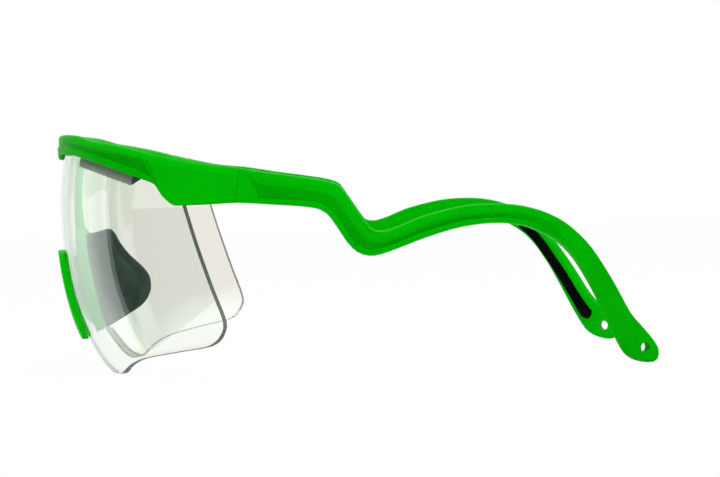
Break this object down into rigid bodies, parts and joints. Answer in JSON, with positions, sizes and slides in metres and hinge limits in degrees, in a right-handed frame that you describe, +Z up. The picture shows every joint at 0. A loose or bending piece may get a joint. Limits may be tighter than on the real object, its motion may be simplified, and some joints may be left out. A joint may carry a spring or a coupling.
{
  "type": "cycling sunglasses",
  "caption": "Wraparound cycling glasses: clear shield in a half rim brow bar, rubber nose saddle, two folding kinked temples with strap holes.",
  "frame": {"origin": "centre of the footprint at table height, the glasses standing open on the two lens lobes and the temple tips", "axes": "+X from the lens to the temple tips, +Y to the wearer's right, +Z up"},
  "size_m": [0.1705, 0.1432, 0.0681],
  "materials": {
    "frame_plastic": "bright green nylon, satin gloss",
    "lens": "clear to faint smoke polycarbonate, polished",
    "pad_rubber": "soft black rubber",
    "grip_rubber": "soft black rubber",
    "screw_steel": "small slotted screw"
  },
  "bodies": {
    "frame": {"brow_bar": "frame_plastic", "lens": "lens", "nose_carrier": "frame_plastic", "nose_clip": "frame_plastic", "nose_pad": "pad_rubber", "hinge_screws": "screw_steel"},
    "left_temple": {"temple_left": "frame_plastic", "grip_left": "grip_rubber"},
    "right_temple": {"temple_right": "frame_plastic", "grip_right": "grip_rubber"}
  },
  "joints": [
    {"name": "left_hinge", "type": "hinge", "parent": "frame", "child": "left_temple", "pos_m": [-0.029, -0.06596, 0.0525], "axis": [0.1736, 0, 0.9848], "range_deg": [0, 86]},
    {"name": "right_hinge", "type": "hinge", "parent": "frame", "child": "right_temple", "pos_m": [-0.029, 0.06596, 0.0525], "axis": [-0.1736, 0, -0.9848], "range_deg": [0, 78]}
  ]
}
